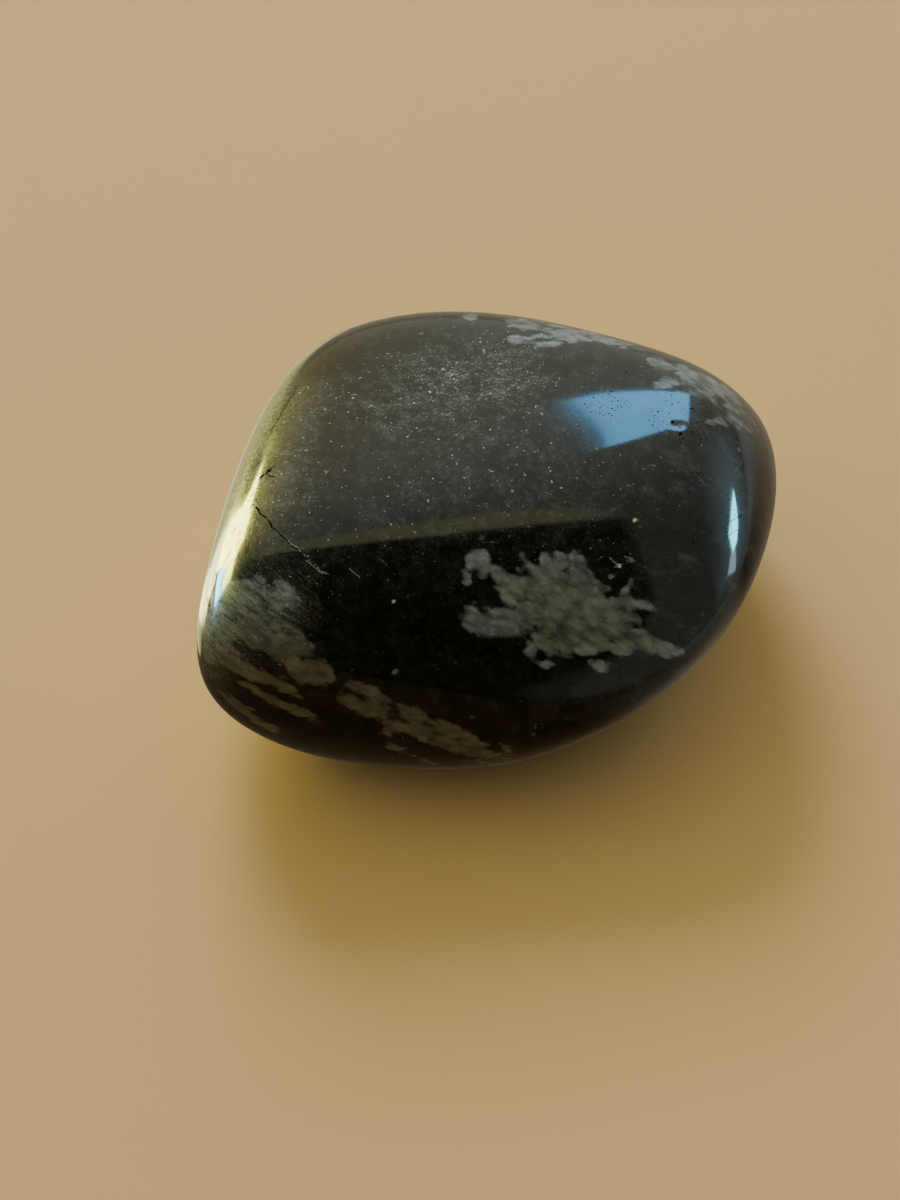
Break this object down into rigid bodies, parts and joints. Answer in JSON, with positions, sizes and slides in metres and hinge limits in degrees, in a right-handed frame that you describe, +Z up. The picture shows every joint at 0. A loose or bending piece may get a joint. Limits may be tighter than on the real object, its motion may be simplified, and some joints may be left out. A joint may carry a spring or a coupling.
{
  "type": "tumbled snowflake obsidian",
  "caption": "Tumbled and polished snowflake obsidian: a rounded near-black volcanic glass stone with grey snowflake patches, lying on its flattest side.",
  "frame": {"origin": "on the resting face, straight below the point that the worn sides are measured from, near the middle of the stone", "axes": "+X along the stone's longest way, towards its blunt right end; +Z up, out of the polished top; -Y is the long front with most of the snowflakes"},
  "size_m": [0.0358, 0.0292, 0.0192],
  "materials": {
    "obsidian": "high polish from tumbling, near-black volcanic glass with flush grey snowflakes"
  },
  "bodies": {
    "root": {"stone": "obsidian"}
  },
  "joints": []
}
